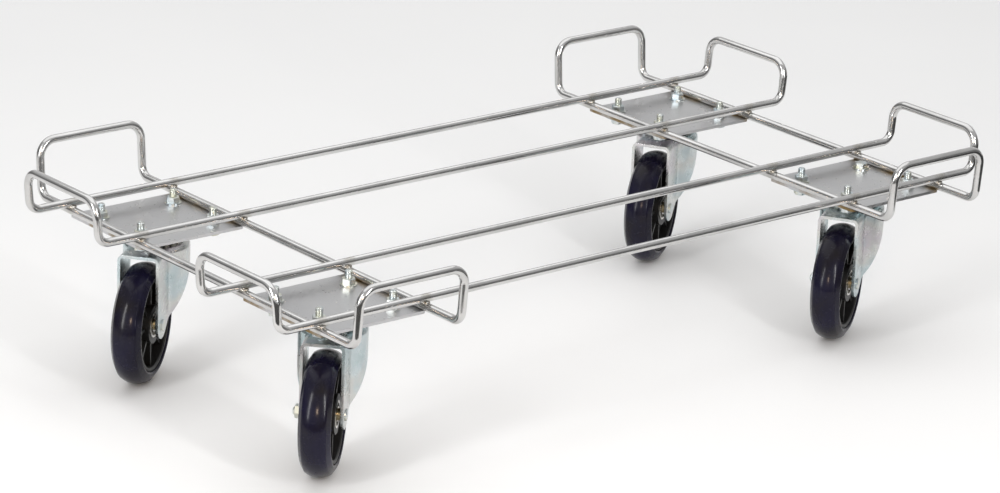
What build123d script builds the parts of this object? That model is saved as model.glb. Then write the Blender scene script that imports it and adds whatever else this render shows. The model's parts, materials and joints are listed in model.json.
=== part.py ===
from build123d import *
from math import cos, radians, sin, tan
import os

# Wire-frame dolly on four swivel casters, in millimetres.
# Origin: on the floor, under the middle of the frame. +X along the length, +Z up.

# ---- driving dimensions: wire frame ----
rod_d = 7.0                 # round rod of all four loops
loop_width = 100.0          # between the two rods of one loop, centre to centre
long_loop_half = 368.0      # from the middle to the foot of a long loop's upright
long_loop_y = 120.5         # middle line of each long loop
long_stop_height = 35.0     # top bar above the long rods
cross_loop_half = 215.0     # from the middle to the foot of a cross loop's upright
cross_loop_x = 277.8        # middle line of each cross loop
cross_stop_height = 46.0    # top bar above the cross rods
stop_lean = 4.4             # degrees that the uprights lean outwards
foot_bend_r = 10.0          # rod centre line, from run to upright
top_bend_r = 14.0           # rod centre line, from upright to top bar
weld_sink = 0.3             # how far welded pieces sink into each other

# ---- driving dimensions: plates and bolts ----
support_size = 102.0        # square plate under the cross rods
support_t = 2.5
support_corner_r = 3.0
top_plate_x = 91.0          # caster's own plate
top_plate_y = 77.0
top_plate_t = 3.0
top_plate_corner_r = 8.0
bolt_spacing_x = 71.0
bolt_spacing_y = 57.0
bolt_d = 6.0
bolt_hole_d = 6.6
bolt_length = 18.0
turned_bolt_length = 13.0   # the one bolt that is fitted head up
flange_d = 14.0             # flanged head and flanged nut
flange_t = 1.4
hex_af = 10.0               # across flats
thread_end = 0.6            # chamfer
hex_edge = 0.5              # softened edge of heads and nuts
head_height = 5.4
nut_height = 6.0

# ---- driving dimensions: caster head ----
swivel_pin_d = 12.0
swivel_play = 0.05          # radial gap between pin and fork
ball_d = 6.0
ball_circle_r = 19.0
ball_count = 18
ball_play = 0.05            # under the balls
ball_groove_depth = 1.0     # in the fork's crown
race_gap = 3.3              # between the crown and the upper race
head_space = 10.2           # between the crown and the caster's plate
race_r = 25.0
race_flare = 3.0            # the pressing widens where it meets the plate
race_edge_r = 0.8
pin_washer_r = 14.0
pin_washer_t = 2.4
pin_washer_edge = 0.8
pin_head_r = 9.0
pin_head_t = 3.5
countersink_r = 9.0

# ---- driving dimensions: fork ----
trail = 39.5                # from the swivel axis to the axle
fork_t = 2.5
fork_inner = 15.0           # from the wheel's middle plane to a leg
crown_r = 27.5
crown_bend_r = 5.0          # outside of the bend from crown to leg
leg_back = 11.0             # leg behind the axle
leg_end_r = 11.5
neck_blend_r = 7.0
lead_x = -10.0              # leading edge of the leg at the crown
lead_z = 95.0               # where the leading edge starts to slope
lead_blend_r = 14.0
knee_x = 20.0               # where the slope meets the straight run to the axle
knee_blend_r = 25.0
leg_run_angle = 45.0        # degrees, of that run
crown_rim = 6.5             # depth of the crown's turned-down rim
leg_bore_play = 0.1         # radial, left leg only; the bolt fits the right leg closely
tyre_gap = 7.5              # between the tyre and the crown

# ---- driving dimensions: wheel ----
wheel_d = 100.0
shoulder_half_width = 9.7   # edge of the tread
shoulder_r = 47.1
flank_half_width = 13.2     # where the flanks bulge most
flank_r = 41.5
flank_blend_r = 2.0
tyre_foot_half_width = 11.8
rim_r = 39.5                # where the tyre sits on the core
rim_half_width = 11.6
rim_t = 3.6
web_half_t = 3.0
hub_r = 16.0
hub_half_width = 11.0
rib_count = 8
rib_t = 2.6
rib_half_width = 8.0
hub_chamfer = 1.0
hub_bore_r = 8.0            # between the bearings
bearing_r = 11.0
bearing_t = 7.0
outer_ring_t = 2.0
shield_inset = 0.5
bearing_proud = 0.4         # above the hub's face
bearing_play = 0.05         # between the outer ring's shields and the sleeve
inner_ring_r = 6.2
sleeve_r = 4.8
axle_d = 6.0
axle_proud = 1.4            # past the nut
axle_head_r = 4.6           # low round head on the right leg
axle_head_t = 1.4
axle_nut_t = 4.6
axle_nut_af = 10.0

# ---- heights, from the floor up ----
axle_z = wheel_d / 2
crown_under = wheel_d + tyre_gap
crown_top = crown_under + fork_t
top_plate_under = crown_top + head_space
top_plate_top = top_plate_under + top_plate_t
support_top = top_plate_top + support_t
rod_r = rod_d / 2
cross_z = support_top + rod_r - weld_sink
long_z = cross_z + rod_d - weld_sink
fork_outer = fork_inner + fork_t

# name, x, y, and the way that the caster trails, in degrees from +X
corners = [
    ("front_left", -cross_loop_x, -long_loop_y, 223.8),
    ("front_right", cross_loop_x, -long_loop_y, 212.3),
    ("back_left", -cross_loop_x, long_loop_y, 218.2),
    ("back_right", cross_loop_x, long_loop_y, 212.0),
]
turned_bolt_corner = "front_right"

os.makedirs("parts", exist_ok=True)


def save(piece, name):
    piece.part.label = name
    export_step(piece.part, f"parts/{name}.step")


# ---- wire loops ----
def half_loop_path(half_length, stop_height):
    """Rod centre line of one loop's end, along +X, from the middle of one run to the other."""
    side = loop_width / 2
    reach = half_length + stop_height * tan(radians(stop_lean))
    return FilletPolyline(
        (0, side, 0),
        (half_length, side, 0),
        (reach, side, stop_height),
        (reach, -side, stop_height),
        (half_length, -side, 0),
        (0, -side, 0),
        radius=[foot_bend_r, top_bend_r, top_bend_r, foot_bend_r],
    )


with BuildPart() as long_loop:
    with BuildLine() as long_path:
        half_loop_path(long_loop_half, long_stop_height)
    with BuildSketch(Plane(long_path.line @ 0, z_dir=long_path.line % 0)):
        Circle(rod_r)
    sweep(path=long_path.line)
    mirror(about=Plane.YZ)

with BuildPart() as cross_loop:
    with BuildLine() as cross_path:
        half_loop_path(cross_loop_half, cross_stop_height)
    with BuildSketch(Plane(cross_path.line @ 0, z_dir=cross_path.line % 0)):
        Circle(rod_r)
    sweep(path=cross_path.line)
    mirror(about=Plane.YZ)

cross_loops = []
for side, x in (("left", -cross_loop_x), ("right", cross_loop_x)):
    with BuildPart() as placed_cross:
        with Locations(Location((x, 0, cross_z), (0, 0, 90))):
            add(cross_loop.part)
    cross_loops.append(placed_cross)
    save(placed_cross, f"cross_loop_{side}")

for side, y in (("front", -long_loop_y), ("back", long_loop_y)):
    with BuildPart() as placed_long:
        with Locations((0, y, long_z)):
            add(long_loop.part)
        for placed_cross in cross_loops:        # the rods sink into each other at the welds
            add(placed_cross.part, mode=Mode.SUBTRACT)
    save(placed_long, f"long_loop_{side}")


# ---- caster plates ----
with BuildPart() as support_plate:
    with BuildSketch(Plane.XY.offset(top_plate_top)):
        RectangleRounded(support_size, support_size, support_corner_r)
        with GridLocations(bolt_spacing_x, bolt_spacing_y, 2, 2):
            Circle(bolt_hole_d / 2, mode=Mode.SUBTRACT)
    extrude(amount=support_t)

ball_z = crown_top - ball_groove_depth + ball_d / 2 + ball_play
race_under = crown_top + race_gap

with BuildPart() as top_plate:
    with BuildSketch(Plane.XY.offset(top_plate_under)):
        RectangleRounded(top_plate_x, top_plate_y, top_plate_corner_r)
    extrude(amount=top_plate_t)
    with BuildSketch(Plane.XZ):
        with BuildLine():
            Polyline(
                (0, top_plate_under),
                (race_r + race_flare, top_plate_under),
                (race_r, top_plate_under - race_flare),
                (race_r, race_under),
                (0, race_under),
                close=True,
            )
        make_face()
    revolve(axis=Axis.Z)
    fillet(top_plate.edges().filter_by(GeomType.CIRCLE).group_by(Axis.Z)[0], race_edge_r)
    with BuildSketch(Plane.XZ):
        with Locations((ball_circle_r, ball_z)):
            Circle(ball_d / 2)
    revolve(axis=Axis.Z, mode=Mode.SUBTRACT)
    with Locations((0, 0, top_plate_top)):
        CounterSinkHole(swivel_pin_d / 2, countersink_r, counter_sink_angle=90)
        with GridLocations(bolt_spacing_x, bolt_spacing_y, 2, 2):
            Hole(bolt_hole_d / 2)

with BuildPart() as swivel_balls:
    with Locations((0, 0, ball_z)):
        with PolarLocations(ball_circle_r, ball_count):
            Sphere(ball_d / 2)

washer_top = crown_under - ball_play
washer_under = washer_top - pin_washer_t

with BuildPart() as swivel_pin:
    with BuildSketch(Plane.XZ):
        with BuildLine():
            Polyline(
                (0, top_plate_top),
                (countersink_r, top_plate_top),
                (swivel_pin_d / 2, top_plate_top - (countersink_r - swivel_pin_d / 2)),
                (swivel_pin_d / 2, washer_under),
                (pin_head_r, washer_under),
                (pin_head_r, washer_under - pin_head_t),
                (0, washer_under - pin_head_t),
                close=True,
            )
        make_face()
    revolve(axis=Axis.Z)
    fillet(swivel_pin.edges().group_by(Axis.Z)[0], pin_head_t / 2)

with BuildPart() as pin_washer:
    with BuildSketch(Plane.XY.offset(washer_under)):
        Circle(pin_washer_r)
        Circle(swivel_pin_d / 2, mode=Mode.SUBTRACT)
    extrude(amount=pin_washer_t)
    chamfer(pin_washer.edges().group_by(Axis.Z)[0].sort_by(SortBy.RADIUS)[-1], pin_washer_edge)


# ---- bolts and nuts ----
def flanged_bolt(length):
    """Hexagon bolt with a round flange: bearing face at the origin, shank up +Z."""
    with BuildPart() as bolt:
        Cylinder(bolt_d / 2, length, align=(Align.CENTER, Align.CENTER, Align.MIN))
        chamfer(bolt.edges().group_by(Axis.Z)[-1], thread_end)
        with BuildSketch():
            Circle(flange_d / 2)
        extrude(amount=-flange_t)
        with BuildSketch():
            RegularPolygon(hex_af / 2, 6, major_radius=False)
        extrude(amount=-head_height)
        chamfer(bolt.faces().sort_by(Axis.Z)[0].edges(), hex_edge)
    return bolt


def flanged_nut():
    """Hexagon nut with a round flange: bearing face at the origin, body up +Z."""
    with BuildPart() as nut:
        with BuildSketch():
            Circle(flange_d / 2)
        extrude(amount=flange_t)
        with BuildSketch():
            RegularPolygon(hex_af / 2, 6, major_radius=False)
        extrude(amount=nut_height)
        chamfer(nut.faces().sort_by(Axis.Z)[-1].edges(), hex_edge)
        Hole(bolt_d / 2)
    return nut


bolt = flanged_bolt(bolt_length)
turned_bolt = flanged_bolt(turned_bolt_length)
nut = flanged_nut()


# ---- fork: a pressed sheet with a round crown and two legs ----
leg_back_x = trail + leg_back


def fork_outline(half_width, round_r, back_x):
    """Plan of the fork: a disc about the swivel axis with a strip back past the axle."""
    Circle(round_r)
    with Locations((back_x / 2, 0)):
        Rectangle(back_x, 2 * half_width)


with BuildPart() as fork_hollow:
    with BuildSketch():
        fork_outline(fork_inner, crown_r - fork_t, leg_back_x + fork_t)
    extrude(amount=crown_under)
    fillet(fork_hollow.edges().filter_by(Axis.Z).group_by(Axis.X)[0], neck_blend_r + fork_t)
    ceiling = fork_hollow.faces().sort_by(Axis.Z)[-1].edges().sort_by(Axis.X)[:-1]
    fillet(ceiling, crown_bend_r - fork_t)

with BuildPart() as fork:
    with BuildSketch():
        fork_outline(fork_outer, crown_r, leg_back_x)
    extrude(amount=crown_top)
    fillet(fork.edges().filter_by(Axis.Z).group_by(Axis.X)[0], neck_blend_r)
    fillet(fork.faces().sort_by(Axis.Z)[-1].edges().sort_by(Axis.X)[:-1], crown_bend_r)
    add(fork_hollow.part, mode=Mode.SUBTRACT)
    # side view: rounded leg ends, a sloping leading edge and the crown's short rim
    with BuildSketch(Plane.XZ) as side_view:
        run = radians(leg_run_angle)
        foot = (trail - leg_end_r * sin(run), axle_z - leg_end_r * cos(run))
        knee = (knee_x, foot[1] + (foot[0] - knee_x) * tan(run))
        rim_z = crown_top - crown_rim
        with BuildLine():
            Polyline(
                (leg_back_x, crown_top),
                (-crown_r, crown_top),
                (-crown_r, rim_z),
                (lead_x, rim_z),
                (lead_x, lead_z),
                knee,
                foot,
                (trail, axle_z),
                (leg_back_x, axle_z),
                close=True,
            )
        make_face()
        with Locations((trail, axle_z)):
            Circle(leg_end_r)
        fillet(side_view.vertices().sort_by_distance((lead_x, 0, lead_z))[0], lead_blend_r)
        fillet(side_view.vertices().sort_by_distance((knee_x, 0, knee[1]))[0], knee_blend_r)
    extrude(amount=crown_r, both=True, mode=Mode.INTERSECT)
    with BuildSketch(Plane.XZ):
        with Locations((ball_circle_r, ball_z)):
            Circle(ball_d / 2 + ball_play)
    revolve(axis=Axis.Z, mode=Mode.SUBTRACT)
    with Locations((0, 0, crown_top)):
        Hole(swivel_pin_d / 2 + swivel_play)
    with BuildSketch(Plane.XZ):
        with Locations((trail, axle_z)):
            Circle(axle_d / 2)
    extrude(amount=-fork_outer, mode=Mode.SUBTRACT)
    with BuildSketch(Plane.XZ):
        with Locations((trail, axle_z)):
            Circle(axle_d / 2 + leg_bore_play)
    extrude(amount=fork_outer, mode=Mode.SUBTRACT)


# ---- wheel: tyre, core and bearings turn; sleeve, axle bolt and nut stay with the fork ----
wheel_section = Plane(origin=(trail, 0, axle_z), x_dir=(0, 1, 0), z_dir=(1, 0, 0))
wheel_side = Plane(origin=(trail, 0, axle_z), x_dir=(1, 0, 0), z_dir=(0, 1, 0))
wheel_axis = Axis((trail, 0, axle_z), (0, 1, 0))
bearing_out = hub_half_width + bearing_proud
bearing_in = bearing_out - bearing_t

with BuildPart() as tyre:
    with BuildSketch(wheel_section) as tyre_section:
        with BuildLine():
            ThreePointArc(
                (-shoulder_half_width, shoulder_r), (0, wheel_d / 2), (shoulder_half_width, shoulder_r)
            )
            Polyline(
                (shoulder_half_width, shoulder_r),
                (flank_half_width, flank_r),
                (tyre_foot_half_width, rim_r),
                (-tyre_foot_half_width, rim_r),
                (-flank_half_width, flank_r),
                (-shoulder_half_width, shoulder_r),
            )
        make_face()
        fillet(tyre_section.vertices().group_by(Axis.Y)[0] + tyre_section.vertices().group_by(Axis.Y)[-1],
               flank_blend_r)
    revolve(axis=wheel_axis)

with BuildPart() as wheel_core:
    with BuildSketch(wheel_section):
        with Locations((0, rim_r - rim_t / 2)):
            Rectangle(2 * rim_half_width, rim_t)
        with Locations((0, (rim_r - rim_t) / 2)):
            Rectangle(2 * web_half_t, rim_r - rim_t)
        with Locations((0, hub_r / 2)):
            Rectangle(2 * hub_half_width, hub_r)
    revolve(axis=wheel_axis)
    rib_inner_r = hub_r - rib_t
    rib_length = rim_r - rim_t / 2 - rib_inner_r
    with BuildSketch(wheel_side):
        with PolarLocations(rib_inner_r + rib_length / 2, rib_count):
            Rectangle(rib_length, rib_t)
    extrude(amount=rib_half_width, both=True)
    with BuildSketch(wheel_side):
        Circle(hub_bore_r)
    extrude(amount=hub_half_width, both=True, mode=Mode.SUBTRACT)
    for direction in (-1, 1):
        with BuildSketch(wheel_side.offset(direction * bearing_in)):
            Circle(bearing_r)
        extrude(amount=direction * (hub_half_width - bearing_in), mode=Mode.SUBTRACT)
    hub_faces = wheel_core.faces().filter_by(Axis.Y).group_by(Axis.Y)
    chamfer([edge for end in (hub_faces[0], hub_faces[-1]) for edge in end.edges()
             if edge.radius > bearing_r + hub_chamfer], hub_chamfer)

with BuildPart() as wheel_bearings:
    with BuildSketch(wheel_section):
        with BuildLine():
            Polyline(
                (bearing_in, inner_ring_r + bearing_play),
                (bearing_in, bearing_r),
                (bearing_out, bearing_r),
                (bearing_out, bearing_r - outer_ring_t),
                (bearing_out - shield_inset, bearing_r - outer_ring_t),
                (bearing_out - shield_inset, inner_ring_r + bearing_play),
                close=True,
            )
        make_face()
    revolve(axis=wheel_axis)
    mirror(about=Plane.XZ)

sleeve_bore_r = axle_d / 2 + leg_bore_play
with BuildPart() as axle_sleeve:
    with BuildSketch(wheel_section):
        with BuildLine():
            Polyline(
                (0, sleeve_bore_r),
                (fork_inner, sleeve_bore_r),
                (fork_inner, sleeve_r),
                (bearing_out, sleeve_r),
                (bearing_out, inner_ring_r),
                (bearing_in, inner_ring_r),
                (bearing_in, sleeve_r),
                (0, sleeve_r),
                close=True,
            )
        make_face()
    revolve(axis=wheel_axis)
    mirror(about=Plane.XZ)

with BuildPart() as axle_bolt:
    with BuildSketch(wheel_side.offset(-fork_outer - axle_nut_t - axle_proud)):
        Circle(axle_d / 2)
    extrude(amount=2 * fork_outer + axle_nut_t + axle_proud)
    with BuildSketch(wheel_side.offset(fork_outer)):
        Circle(axle_head_r)
    extrude(amount=axle_head_t)
    bolt_ends = axle_bolt.faces().sort_by(Axis.Y)
    chamfer(bolt_ends[0].edges() + bolt_ends[-1].edges(), thread_end)

with BuildPart() as axle_nut:
    with BuildSketch(wheel_side.offset(-fork_outer)):
        RegularPolygon(axle_nut_af / 2, 6, major_radius=False)
        Circle(axle_d / 2, mode=Mode.SUBTRACT)
    extrude(amount=-axle_nut_t)
    chamfer(axle_nut.faces().sort_by(Axis.Y)[0].outer_wire().edges(), hex_edge)


# ---- four casters, each with its own heading ----
frame_side = {"support_plate": support_plate, "top_plate": top_plate, "swivel_balls": swivel_balls,
              "swivel_pin": swivel_pin, "pin_washer": pin_washer}
turning_side = {"fork": fork, "axle_bolt": axle_bolt, "axle_nut": axle_nut, "axle_sleeve": axle_sleeve,
                "tyre": tyre, "wheel_core": wheel_core, "wheel_bearings": wheel_bearings}

for corner, x, y, heading in corners:
    for piece_name, piece in frame_side.items():
        with BuildPart() as placed:
            with Locations((x, y, 0)):
                add(piece.part)
            if piece_name == "support_plate":
                for placed_cross in cross_loops:
                    add(placed_cross.part, mode=Mode.SUBTRACT)
        save(placed, f"{piece_name}_{corner}")
    for piece_name, piece in turning_side.items():
        with BuildPart() as placed:
            with Locations(Location((x, y, 0), (0, 0, heading))):
                add(piece.part)
        save(placed, f"{piece_name}_{corner}")
    seats = GridLocations(bolt_spacing_x, bolt_spacing_y, 2, 2).locations
    upright = seats[:-1] if corner == turned_bolt_corner else seats
    turned = seats[-1:] if corner == turned_bolt_corner else []
    with BuildPart() as mounting_bolts:
        for seat in upright:
            with Locations(Location((x, y, top_plate_under)) * seat):
                add(bolt.part)
        for seat in turned:
            with Locations(Location((x, y, support_top)) * seat * Location((0, 0, 0), (180, 0, 0))):
                add(turned_bolt.part)
    save(mounting_bolts, f"mounting_bolts_{corner}")
    with BuildPart() as mounting_nuts:
        for seat in upright:
            with Locations(Location((x, y, support_top)) * seat):
                add(nut.part)
        for seat in turned:
            with Locations(Location((x, y, top_plate_under)) * seat * Location((0, 0, 0), (180, 0, 0))):
                add(nut.part)
    save(mounting_nuts, f"mounting_nuts_{corner}")
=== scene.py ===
import bpy
import json
from math import atan2, cos, pi, radians, sin
from mathutils import Matrix, Vector

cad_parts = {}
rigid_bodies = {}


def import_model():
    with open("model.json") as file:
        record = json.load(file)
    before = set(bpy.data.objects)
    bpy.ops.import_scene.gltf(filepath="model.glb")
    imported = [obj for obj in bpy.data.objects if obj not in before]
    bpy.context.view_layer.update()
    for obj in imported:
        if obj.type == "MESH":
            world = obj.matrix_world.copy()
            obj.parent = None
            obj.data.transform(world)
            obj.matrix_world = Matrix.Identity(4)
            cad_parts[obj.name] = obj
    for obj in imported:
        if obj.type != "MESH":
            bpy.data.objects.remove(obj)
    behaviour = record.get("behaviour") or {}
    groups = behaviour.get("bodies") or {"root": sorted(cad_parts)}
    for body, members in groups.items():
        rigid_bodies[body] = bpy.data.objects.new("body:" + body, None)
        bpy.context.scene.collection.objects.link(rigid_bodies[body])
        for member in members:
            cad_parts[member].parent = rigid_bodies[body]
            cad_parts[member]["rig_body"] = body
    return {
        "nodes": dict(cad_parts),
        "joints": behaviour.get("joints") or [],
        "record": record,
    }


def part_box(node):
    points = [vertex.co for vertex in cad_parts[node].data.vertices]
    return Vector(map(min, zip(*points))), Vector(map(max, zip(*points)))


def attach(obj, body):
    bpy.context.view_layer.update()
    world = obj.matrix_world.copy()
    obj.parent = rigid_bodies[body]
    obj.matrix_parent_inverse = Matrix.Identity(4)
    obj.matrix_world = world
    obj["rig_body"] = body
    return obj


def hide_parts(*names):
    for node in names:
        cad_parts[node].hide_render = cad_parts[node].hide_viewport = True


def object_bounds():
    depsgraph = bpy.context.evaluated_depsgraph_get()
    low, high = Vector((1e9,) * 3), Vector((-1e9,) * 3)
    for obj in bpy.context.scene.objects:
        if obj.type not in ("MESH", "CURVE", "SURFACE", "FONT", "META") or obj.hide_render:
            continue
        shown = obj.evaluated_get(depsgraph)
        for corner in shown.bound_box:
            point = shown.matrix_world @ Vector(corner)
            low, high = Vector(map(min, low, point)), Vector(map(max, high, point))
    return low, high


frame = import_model()
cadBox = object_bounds()
scene = bpy.context.scene
corners = ["front_left", "front_right", "back_left", "back_right"]
joints = {joint["name"]: joint for joint in frame["joints"]}
print("frame loaded:", len(frame["nodes"]), "nodes")


def startMaterial(name, **values):
    material = bpy.data.materials.new(name)
    material.use_nodes = True
    shader = material.node_tree.nodes["Principled BSDF"]
    for socket, value in values.items():
        shader.inputs[socket.replace("_", " ")].default_value = value
    return material, shader


def addNode(material, kind, **values):
    node = material.node_tree.nodes.new("ShaderNode" + kind)
    for key, value in values.items():
        if key in node.inputs:
            node.inputs[key].default_value = value
        else:
            setattr(node, key, value)
    return node


def join(material, source, target):
    material.node_tree.links.new(source, target)


def noise(material, scale, detail):
    texture = addNode(material, "TexNoise", Scale=scale, Detail=detail)
    join(material, addNode(material, "TexCoord").outputs["Object"], texture.inputs["Vector"])
    return texture.outputs["Fac"]


def ramp(material, source, stops):
    node = addNode(material, "ValToRGB")
    elements = node.color_ramp.elements
    while len(elements) < len(stops):
        elements.new(0.5)
    for element, (position, color) in zip(elements, stops):
        element.position = position
        element.color = (*color, 1)
    join(material, source, node.inputs["Fac"])
    return node.outputs["Color"]


def grey(value):
    return (value, value, value)


def mapRange(material, source, low, high, toLow=0.0, toHigh=1.0):
    node = addNode(material, "MapRange")
    for socket, value in zip(("From Min", "From Max", "To Min", "To Max"), (low, high, toLow, toHigh)):
        node.inputs[socket].default_value = value
    join(material, source, node.inputs["Value"])
    return node.outputs["Result"]


def mixColor(material, factor, first, second):
    node = addNode(material, "Mix", data_type="RGBA")
    join(material, factor, node.inputs[0])
    for socket, value in ((node.inputs[6], first), (node.inputs[7], second)):
        if isinstance(value, tuple):
            socket.default_value = (*value, 1)
        else:
            join(material, value, socket)
    return node.outputs[2]


def calc(material, operation, first, second=None):
    node = addNode(material, "Math", operation=operation)
    for socket, value in zip(node.inputs, (first, second)):
        if isinstance(value, (int, float)):
            socket.default_value = value
        elif value is not None:
            join(material, value, socket)
    return node.outputs[0]


def bump(material, shader, height, strength, distance):
    node = addNode(material, "Bump", Strength=strength, Distance=distance)
    join(material, height, node.inputs["Height"])
    join(material, node.outputs["Normal"], shader.inputs["Normal"])


def objectAxes(material):
    parts = addNode(material, "SeparateXYZ")
    join(material, addNode(material, "TexCoord").outputs["Object"], parts.inputs[0])
    return parts.outputs


def axisDistance(material, axis, lines):       # to the nearer of two lines and their mirror images
    along = calc(material, "ABSOLUTE", objectAxes(material)[axis])
    gaps = [calc(material, "ABSOLUTE", calc(material, "SUBTRACT", along, line)) for line in lines]
    return calc(material, "MINIMUM", *gaps)


grain = dict(low=0.3, high=0.7)                # the span of a noise that the gloss follows

wire = dict(
    rodRadius=0.0035,
    polish=(0.66, 0.656, 0.65),
    dull=(0.55, 0.547, 0.542),
    clouds=(26.0, 5.0),
    cloudSpan=(0.42, 0.66),
    cloudGloss=0.10,
    # darker, browner metal at each rod crossing: partly weld heat tint, partly painted shade where the rods
    # cross
    weldTintAndShade=(0.36, 0.34, 0.30),
    weldTintShadeReach=(0.002, 0.008),  # how far the weld tint and the painted crossing shade run along a rod
    weldTintShadeFade=(0.6, 0.0),
    weldTintShadeGloss=0.2,
    ragged=(160.0, 4.0),
    raggedBy=0.012,
    fine=(180.0, 3.0),
    gloss=(0.09, 0.13),
    relief=(150.0, 2.0),
    depth=(0.02, 0.0003),
)


def rodLines():
    crossLow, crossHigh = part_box("cross_loop_right")
    longLow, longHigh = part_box("long_loop_back")
    r = wire["rodRadius"]
    return (crossLow.x + r, crossHigh.x - r), (longLow.y + r, longHigh.y - r)


crossLines, longLines = rodLines()


def makeBrightWire():
    material, shader = startMaterial("bright_wire", Metallic=1.0)
    squares = [calc(material, "POWER", axisDistance(material, axis, lines), 2.0)
               for axis, lines in ((0, crossLines), (1, longLines))]
    gap = calc(material, "SQRT", calc(material, "ADD", *squares))
    uneven = calc(material, "SUBTRACT", noise(material, *wire["ragged"]), 0.5)
    ragged = calc(material, "ADD", gap, calc(material, "MULTIPLY", uneven, wire["raggedBy"]))
    # mask for the weld tint and the painted shade around each rod crossing
    weldTintAndShade = mapRange(material, ragged, *wire["weldTintShadeReach"], *wire["weldTintShadeFade"])
    cloudy = mapRange(material, noise(material, *wire["clouds"]), *wire["cloudSpan"])
    plating = mixColor(material, cloudy, wire["polish"], wire["dull"])
    join(material, mixColor(material, weldTintAndShade, plating, wire["weldTintAndShade"]), shader.inputs["Base Color"])
    fine = mapRange(material, noise(material, *wire["fine"]), grain["low"], grain["high"], *wire["gloss"])
    gloss = calc(material, "ADD", fine, calc(material, "MULTIPLY", cloudy, wire["cloudGloss"]))
    weldTintShadeGloss = calc(material, "MULTIPLY", weldTintAndShade, wire["weldTintShadeGloss"])
    join(material, calc(material, "ADD", gloss, weldTintShadeGloss), shader.inputs["Roughness"])
    bump(material, shader, noise(material, *wire["relief"]), *wire["depth"])
    return material


plate = dict(
    sheen=(0.60, 0.60, 0.605),
    shade=(0.52, 0.52, 0.53),
    shading=(14.0, 4.0),
    shadingSpan=(0.35, 0.68),
    # brown along the cross rods: partly rust stain, partly painted contact shade under and beside the rods
    rustAndContactShade=(0.30, 0.22, 0.11),
    rustShadeReach=(0.0035, 0.010),
    rustShadeFade=(1.0, 0.0),
    rustShadeGloss=0.3,
    patches=(34.0, 5.0),
    patchSpan=(0.42, 0.60),
    brushed=(220.0, 4.0),
    gloss=(0.27, 0.33),
    relief=(40.0, 2.0),
    depth=(0.03, 0.0003),
)


def makePlateSteel():
    material, shader = startMaterial("plate_steel", Metallic=1.0)
    # mask along the cross rods for the rust stain and the painted contact shade
    nearRod = mapRange(material, axisDistance(material, 0, crossLines), *plate["rustShadeReach"], *plate["rustShadeFade"])
    patchy = mapRange(material, noise(material, *plate["patches"]), *plate["patchSpan"])
    rustAndShadeMask = calc(material, "MULTIPLY", nearRod, patchy)
    shading = mapRange(material, noise(material, *plate["shading"]), *plate["shadingSpan"])
    satin = mixColor(material, shading, plate["sheen"], plate["shade"])
    join(material, mixColor(material, rustAndShadeMask, satin, plate["rustAndContactShade"]), shader.inputs["Base Color"])
    gloss = mapRange(material, noise(material, *plate["brushed"]), grain["low"], grain["high"], *plate["gloss"])
    rustAndShadeGloss = calc(material, "MULTIPLY", rustAndShadeMask, plate["rustShadeGloss"])
    join(material, calc(material, "ADD", gloss, rustAndShadeGloss), shader.inputs["Roughness"])
    bump(material, shader, noise(material, *plate["relief"]), *plate["depth"])
    return material


thread = dict(pitch=0.001, above=0.1314, below=0.1140)


def threadHeight(material):                    # ridges on a bolt's bare ends, past the nut and the plate
    height = objectAxes(material)["Z"]
    half = thread["pitch"] / 2
    ridge = calc(material, "DIVIDE", calc(material, "PINGPONG", height, half), half)
    above = calc(material, "GREATER_THAN", height, thread["above"])
    below = calc(material, "LESS_THAN", height, thread["below"])
    return calc(material, "MULTIPLY", ridge, calc(material, "MAXIMUM", above, below))


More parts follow.
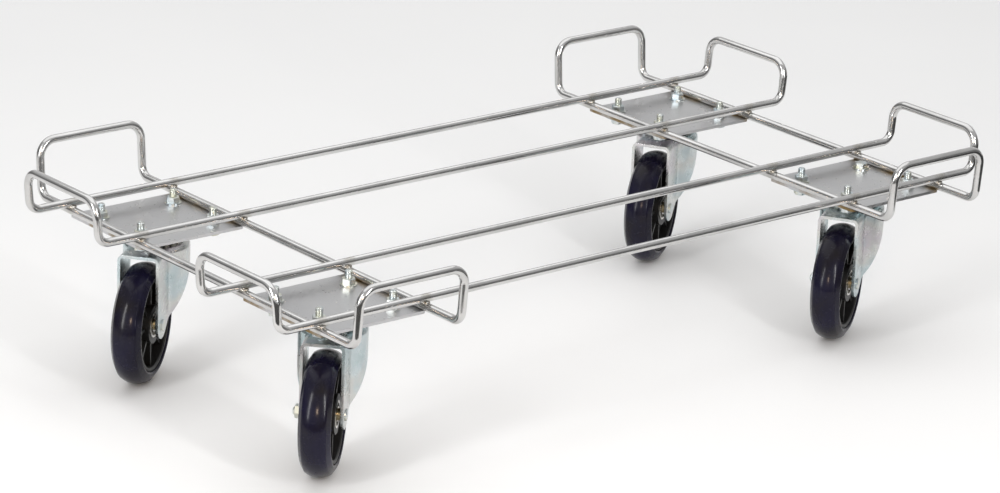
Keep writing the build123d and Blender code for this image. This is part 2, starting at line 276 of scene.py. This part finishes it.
# tint, wear and relief are the scale and detail of a noise; depth is the bump's strength and distance
surfaces = dict(
    zinc_blue=dict(
        shader=dict(Metallic=1.0),
        tint=(22.0, 3.0),
        colors=[(0.30, (0.42, 0.52, 0.53)), (0.44, (0.54, 0.61, 0.63)), (0.54, (0.62, 0.63, 0.61)),
                (0.64, (0.60, 0.57, 0.60)), (0.76, (0.47, 0.55, 0.59))],
        wear=(120.0, 5.0),
        gloss=(0.20, 0.38),
        relief=(120.0, 3.0),
        depth=(0.06, 0.0005),
    ),
    bolt_zinc=dict(
        shader=dict(Metallic=1.0),
        tint=(80.0, 3.0),
        colors=[(0.32, (0.46, 0.56, 0.62)), (0.50, (0.62, 0.65, 0.64)), (0.68, (0.62, 0.62, 0.50))],
        wear=(380.0, 4.0),
        gloss=(0.18, 0.34),
        relief=threadHeight,
        depth=(0.9, 0.0003),
    ),
    zinc_fastener=dict(
        shader=dict(Metallic=1.0),
        tint=(70.0, 3.0),
        colors=[(0.32, (0.50, 0.59, 0.64)), (0.50, (0.66, 0.69, 0.68)), (0.68, (0.68, 0.67, 0.56))],
        wear=(380.0, 4.0),
        gloss=(0.26, 0.44),
        relief=(1200.0, 3.0),
        depth=(0.10, 0.0003),
    ),
    bearing_steel=dict(
        shader=dict(Metallic=1.0),
        tint=(90.0, 4.0),
        colors=[(0.35, (0.60, 0.58, 0.53)), (0.62, (0.74, 0.73, 0.70))],
        wear=(500.0, 4.0),
        gloss=(0.18, 0.32),
        relief=(1400.0, 2.0),
        depth=(0.06, 0.0002),
    ),
    tyre_rubber=dict(
        shader=dict(Coat_Weight=0.12, Coat_Roughness=0.08, IOR=1.24),
        tint=(30.0, 4.0),
        colors=[(0.30, (0.010, 0.008, 0.009)), (0.48, (0.007, 0.006, 0.016)), (0.70, (0.008, 0.007, 0.024))],
        wear=(240.0, 5.0),
        gloss=(0.16, 0.30),
        relief=(90.0, 3.0),
        depth=(0.05, 0.0006),
    ),
    core_plastic=dict(
        shader=dict(IOR=1.46),
        tint=(60.0, 4.0),
        colors=[(0.30, grey(0.007)), (0.70, grey(0.014))],
        wear=(700.0, 4.0),
        gloss=(0.34, 0.48),
        relief=(1600.0, 3.0),
        depth=(0.20, 0.0003),
    ),
    bearing_shield=dict(
        shader=dict(Metallic=0.7),
        tint=(160.0, 3.0),
        colors=[(0.35, (0.060, 0.052, 0.026)), (0.65, (0.105, 0.095, 0.055))],
        wear=(600.0, 4.0),
        gloss=(0.30, 0.44),
        relief=(1500.0, 2.0),
        depth=(0.08, 0.0002),
    ),
    axle_spacer=dict(
        shader=dict(Metallic=1.0),
        tint=(140.0, 4.0),
        colors=[(0.35, (0.50, 0.41, 0.24)), (0.65, (0.62, 0.54, 0.36))],
        wear=(600.0, 4.0),
        gloss=(0.26, 0.40),
        relief=(1300.0, 3.0),
        depth=(0.08, 0.0002),
    ),
    weld_bead=dict(
        shader=dict(Metallic=1.0),
        tint=(500.0, 4.0),
        colors=[(0.36, (0.34, 0.29, 0.22)), (0.50, (0.56, 0.53, 0.48)), (0.66, (0.70, 0.69, 0.66))],
        wear=(800.0, 3.0),
        gloss=(0.12, 0.34),
        relief=(700.0, 4.0),
        depth=(0.35, 0.0004),
    ),
)


def makeSurface(name, values):
    material, shader = startMaterial(name, **values["shader"])
    tint = ramp(material, noise(material, *values["tint"]), values["colors"])
    join(material, tint, shader.inputs["Base Color"])
    gloss = mapRange(material, noise(material, *values["wear"]), grain["low"], grain["high"], *values["gloss"])
    join(material, gloss, shader.inputs["Roughness"])
    relief = values["relief"]
    bump(material, shader, relief(material) if callable(relief) else noise(material, *relief), *values["depth"])
    return material


finishes = {name: makeSurface(name, values) for name, values in surfaces.items()}
finishes["bright_wire"] = makeBrightWire()
finishes["plate_steel"] = makePlateSteel()
print("materials ready:", len(finishes))


def onlySelect(*pieces):                       # the last one becomes active
    bpy.ops.object.select_all(action="DESELECT")
    for piece in pieces:
        piece.select_set(True)
        bpy.context.view_layer.objects.active = piece


def setFinish(piece, slotName, finish=None):
    piece.data.materials.clear()
    piece.data.materials.append(finish or finishes[slotName])


def useModifier(piece, kind, **values):
    onlySelect(piece)
    modifier = piece.modifiers.new(kind.lower(), kind)
    for key, value in values.items():
        setattr(modifier, key, value)
    bpy.ops.object.modifier_apply(modifier=modifier.name)


softening = dict(mergeGap=0.000002, flatAngle=0.6, smoothAngle=32, sharpAngle=38)


def finishCopy(nodeName, slotName, softEdge, finish):
    source = frame["nodes"][nodeName]
    piece = source.copy()
    piece.data = source.data.copy()
    piece.name = nodeName + "_finished"
    piece.parent = None
    for key in list(piece.keys()):
        del piece[key]
    scene.collection.objects.link(piece)
    onlySelect(piece)
    if piece.data.has_custom_normals:
        bpy.ops.mesh.customdata_custom_splitnormals_clear()
    bpy.ops.object.mode_set(mode="EDIT")
    bpy.ops.mesh.select_all(action="SELECT")
    bpy.ops.mesh.remove_doubles(threshold=softening["mergeGap"])
    if softEdge:
        bpy.ops.mesh.dissolve_limited(angle_limit=radians(softening["flatAngle"]))
    bpy.ops.object.mode_set(mode="OBJECT")
    if softEdge:
        useModifier(piece, "BEVEL", width=softEdge, segments=2, limit_method="ANGLE",
                    angle_limit=radians(softening["sharpAngle"]))
    bpy.ops.object.shade_smooth_by_angle(angle=radians(softening["smoothAngle"]))
    if softEdge:
        useModifier(piece, "WEIGHTED_NORMAL", mode="FACE_AREA", weight=100, keep_sharp=True)
    setFinish(piece, slotName, finish)
    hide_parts(nodeName)
    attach(piece, source["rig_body"])


def startProfile(name, first):
    bpy.ops.object.select_all(action="DESELECT")
    bpy.ops.mesh.primitive_plane_add(size=0.001)
    piece = bpy.context.active_object
    piece.name = name
    bpy.ops.object.mode_set(mode="EDIT")
    bpy.ops.mesh.select_all(action="SELECT")
    bpy.ops.mesh.merge(type="CENTER")
    bpy.ops.transform.translate(value=(0, *first))
    return piece


def turnProfile(name, profile, steps):         # profile: along the axle, then out from it
    piece = startProfile(name, profile[0])
    for start, end in zip(profile, profile[1:] + profile[:1]):
        step = (0, end[0] - start[0], end[1] - start[1])
        bpy.ops.mesh.extrude_region_move(TRANSFORM_OT_translate={"value": step})
    bpy.ops.mesh.select_all(action="SELECT")
    bpy.ops.mesh.remove_doubles(threshold=softening["mergeGap"])
    bpy.ops.mesh.spin(steps=steps, angle=2 * pi, center=(0, 0, 0), axis=(0, 1, 0))
    bpy.ops.mesh.select_all(action="SELECT")
    bpy.ops.mesh.remove_doubles(threshold=softening["mergeGap"])
    bpy.ops.mesh.normals_make_consistent(inside=False)
    bpy.ops.object.mode_set(mode="OBJECT")
    bpy.ops.object.shade_smooth_by_angle(angle=radians(softening["smoothAngle"]))
    return piece


def wheelPlace(corner):
    joint = joints["wheel_spin_" + corner]
    axis = joint["axis"]
    heading = Matrix.Rotation(atan2(axis[1], axis[0]) - pi / 2, 4, "Z")
    return Matrix.Translation(Vector(joint["pos_m"])) @ heading


def placeCopies(pattern, name, slotName, finish, nodeStart, bodyStart):
    for corner in corners:
        piece = pattern.copy()
        piece.data = pattern.data.copy()
        piece.name = name + "_" + corner
        scene.collection.objects.link(piece)
        piece.data.transform(wheelPlace(corner))
        setFinish(piece, slotName, finish)
        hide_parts(nodeStart + corner)
        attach(piece, bodyStart + corner)
    bpy.data.objects.remove(pattern)


slotOf = {entry["node"]: entry["material_slot"] for entry in frame["record"]["subparts"]}
softEdges = dict(support_plate=0.0004, top_plate=0.0004, fork=0.0005, wheel_core=0.0004)
modelledHere = ("tyre", "wheel_bearings", "axle_sleeve")
for nodeName in frame["nodes"]:
    if not nodeName.startswith(modelledHere):
        softEdge = max([edge for kind, edge in softEdges.items() if nodeName.startswith(kind)] or [0.0])
        finish = finishes["bolt_zinc"] if nodeName.startswith("mounting_bolts") else None
        finishCopy(nodeName, slotOf[nodeName], softEdge, finish)
print("frame, plates, forks and fasteners finished")

tyre = dict(
    crownRadius=0.01767,       # of the tread in section
    tread=15,                  # points across it
    halfWidth=0.0097,
    shoulder=(0.0101, 0.0464),
    bulge=(0.0108, 0.04156),   # middle of the rounded flank
    bulgeRadius=0.002,
    bulgeAngles=(32, 16, 0, -17, -34),
    foot=(0.0118, 0.0395),
    steps=160,
)


def modelTyre():
    low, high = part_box("tyre_front_left")
    middle = (high.z - low.z) / 2 - tyre["crownRadius"]
    across = [tyre["halfWidth"] * (2 * i / (tyre["tread"] - 1) - 1) for i in range(tyre["tread"])]
    tread = [(y, middle + (tyre["crownRadius"] ** 2 - y ** 2) ** 0.5) for y in across]
    bulgeAcross, bulgeOut = tyre["bulge"]
    bulge = [(bulgeAcross + tyre["bulgeRadius"] * cos(radians(angle)),
              bulgeOut + tyre["bulgeRadius"] * sin(radians(angle))) for angle in tyre["bulgeAngles"]]
    right = [tyre["shoulder"], *bulge, tyre["foot"]]
    left = [(-y, r) for y, r in reversed(right)]
    return turnProfile("tyre_pattern", tread + right + left, tyre["steps"])


placeCopies(modelTyre(), "tyre_tread", "tyre_rubber", None, "tyre_", "wheel_")
print("tyres finished")

bearing = dict(
    ring=[(0.0044, 0.0109), (0.0112, 0.0110), (0.0114, 0.0108), (0.0114, 0.0094), (0.0111, 0.0091),
          (0.0044, 0.0091)],
    shield=[(0.0050, 0.00905), (0.0108, 0.00905), (0.0106, 0.0084), (0.0107, 0.0070), (0.0110, 0.0066),
            (0.0050, 0.0066)],
    inner=[(0.0044, 0.0049), (0.0114, 0.0049), (0.0114, 0.0060), (0.0112, 0.0062), (0.0044, 0.0062)],
    spacer=[(0.0, 0.0031), (0.0150, 0.0031), (0.0150, 0.0046), (0.0148, 0.0048), (0.0, 0.0048)],
    steps=72,
)


def bothSides(name, profile):
    right = turnProfile(name + "_right", profile, bearing["steps"])
    left = turnProfile(name + "_left", [(-y, r) for y, r in reversed(profile)], bearing["steps"])
    onlySelect(left, right)
    bpy.ops.object.join()
    return right


for name, profileName, finishName, nodeStart, bodyStart in (
    ("bearing_ring", "ring", "bearing_steel", "wheel_bearings_", "wheel_"),
    ("bearing_shield", "shield", "bearing_shield", "wheel_bearings_", "wheel_"),
    ("bearing_inner_ring", "inner", "bearing_steel", "axle_sleeve_", "swivel_"),
    ("axle_spacer", "spacer", "axle_spacer", "axle_sleeve_", "swivel_"),
):
    pattern = bothSides(name, bearing[profileName])
    placeCopies(pattern, name, "bearing_steel", finishes[finishName], nodeStart, bodyStart)
print("bearings finished")

weld = dict(radius=0.0040, height=0.0016, stretch=1.15, sink=0.00015, uneven=0.00022, segments=20, rings=12)


def modelWeld(x, y, z, seed):
    bpy.ops.object.select_all(action="DESELECT")
    bpy.ops.mesh.primitive_uv_sphere_add(segments=weld["segments"], ring_count=weld["rings"],
                                         radius=weld["radius"], location=(x, y, z))
    bpy.ops.object.transform_apply(location=True, rotation=False, scale=False)
    bpy.ops.object.mode_set(mode="EDIT")
    bpy.ops.mesh.select_all(action="SELECT")
    bpy.ops.transform.resize(value=(1.0, weld["stretch"], weld["height"] / weld["radius"]),
                             center_override=(x, y, z))
    bpy.ops.transform.vertex_random(offset=weld["uneven"], seed=seed)
    bpy.ops.object.mode_set(mode="OBJECT")
    piece = bpy.context.active_object
    useModifier(piece, "SUBSURF", levels=1, render_levels=1)
    bpy.ops.object.shade_smooth()
    return piece


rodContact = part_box("long_loop_back")[0].z + weld["sink"]
for index, corner in enumerate(corners):
    sideX = 1 if corner.endswith("right") else -1
    sideY = 1 if corner.startswith("back") else -1
    crossings = [(sideX * x, sideY * y) for x in crossLines for y in longLines]
    beads = [modelWeld(x, y, rodContact, index * len(crossings) + number)
             for number, (x, y) in enumerate(crossings, start=1)]
    onlySelect(*reversed(beads))
    bpy.ops.object.join()
    beads[0].name = "weld_beads_" + corner
    setFinish(beads[0], "bright_wire", finishes["weld_bead"])
    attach(beads[0], "frame")
print("weld beads finished")

ground = dict(
    edge=9.0,
    paper=dict(
        shader=dict(Roughness=0.6),
        tint=(3.0, 2.0),
        colors=[(0.3, grey(0.93)), (0.7, grey(0.91605))],
    ),
    velvet=dict(
        shader=dict(Roughness=0.95, IOR=1.2),
        tint=(40.0, 2.0),
        colors=[(0.3, grey(0.05)), (0.7, grey(0.08))],
    ),
    mats=dict(                 # black mats on the floor that only reflections see
        left=dict(middle=(-1.15, -1.45, 0.001), turn=-39.7, size=(2.4, 2.6)),
        right=dict(middle=(1.20, -1.45, 0.002), turn=39.7, size=(2.4, 2.6)),
    ),
)


def makeGround(name, values):
    material, shader = startMaterial(name, **values["shader"])
    tint = ramp(material, noise(material, *values["tint"]), values["colors"])
    join(material, tint, shader.inputs["Base Color"])
    return material


def addGround(name, material, edge, middle, turn=0.0):
    bpy.ops.mesh.primitive_plane_add(size=edge, location=middle, rotation=(0, 0, radians(turn)))
    piece = bpy.context.active_object
    piece.name = name
    piece.data.materials.append(material)
    return piece


floorHeight = cadBox[0][2]
addGround("floor", makeGround("pale_floor", ground["paper"]), ground["edge"], (0, 0, floorHeight))
velvet = makeGround("black_velvet", ground["velvet"])
for side, mat in ground["mats"].items():
    x, y, raised = mat["middle"]
    piece = addGround("black_mat_" + side, velvet, 1.0, (x, y, floorHeight + raised), mat["turn"])
    piece.scale = (*mat["size"], 1.0)
    piece.visible_camera = piece.visible_diffuse = piece.visible_shadow = False

white = (1.0, 1.0, 1.0)
lights = dict(
    top=dict(place=(0.2, 0.6, 2.3), size=(3.2, 3.0), power=24, color=white),
    leftStrip=dict(place=(-1.96, -0.38, 0.95), size=(0.30, 1.5), power=16, color=white),
    rightStrip=dict(place=(-0.17, -2.0, 0.95), size=(0.14, 1.3), power=14, color=white),
    warmSpot=dict(place=(-1.35, -1.55, 0.78), size=(0.24, 0.30), power=6, color=(1.0, 0.74, 0.52)),
)
lightAim = Vector((0, 0, 0.08))
for name, settings in lights.items():
    data = bpy.data.lights.new(name, "AREA")
    data.shape = "RECTANGLE"
    data.size, data.size_y = settings["size"]
    data.energy = settings["power"]
    data.color = settings["color"]
    light = bpy.data.objects.new(name, data)
    scene.collection.objects.link(light)
    light.location = settings["place"]
    light.rotation_euler = (lightAim - light.location).to_track_quat("-Z", "Y").to_euler()

surround = dict(
    lit=[(0.00, 0.60), (0.20, 0.76), (0.40, 0.80), (0.70, 0.66), (1.00, 0.56)],
    dark=[(0.00, 0.20), (0.30, 0.25), (0.48, 0.48), (0.70, 0.66), (1.00, 0.56)],
    darkAxis=(0.64, -0.77, 0.0),   # the room is unlit at both ends of this line
    darkEdge=(0.50, 0.82),
    strength=0.9,
)
world = bpy.data.worlds.new("studio_surround")
scene.world = world
world.use_nodes = True
background = world.node_tree.nodes["Background"]
direction = addNode(world, "TexCoord").outputs["Generated"]
split = addNode(world, "SeparateXYZ")
join(world, direction, split.inputs[0])
facing = addNode(world, "VectorMath", operation="DOT_PRODUCT")
join(world, direction, facing.inputs[0])
facing.inputs[1].default_value = surround["darkAxis"]
unlit = mapRange(world, calc(world, "ABSOLUTE", facing.outputs["Value"]), *surround["darkEdge"])
skies = [ramp(world, split.outputs["Z"], [(height, grey(value)) for height, value in surround[name]])
         for name in ("lit", "dark")]
join(world, mixColor(world, unlit, *skies), background.inputs["Color"])
background.inputs["Strength"].default_value = surround["strength"]

view = dict(
    lens=145.97,
    sensor=36.0,
    clipEnd=50.0,
    azimuth=-39.746,
    elevation=18.862,
    roll=2.258,
    distance=3.3868,
    aim=(-0.01763, -0.00548, 0.09051),
)
cameraData = bpy.data.cameras.new("camera")
cameraData.lens = view["lens"]
cameraData.sensor_width = view["sensor"]
cameraData.sensor_fit = "HORIZONTAL"
cameraData.clip_end = view["clipEnd"]
camera = bpy.data.objects.new("camera", cameraData)
scene.collection.objects.link(camera)
azimuth = Matrix.Rotation(radians(view["azimuth"]), 4, "Z")
tilt = Matrix.Rotation(radians(90 - view["elevation"]), 4, "X")
roll = Matrix.Rotation(radians(view["roll"]), 4, "Z")
back = Matrix.Translation((0, 0, view["distance"]))
camera.matrix_world = Matrix.Translation(Vector(view["aim"])) @ azimuth @ tilt @ roll @ back
scene.camera = camera
scene.view_settings.view_transform = "Standard"
print("studio ready")
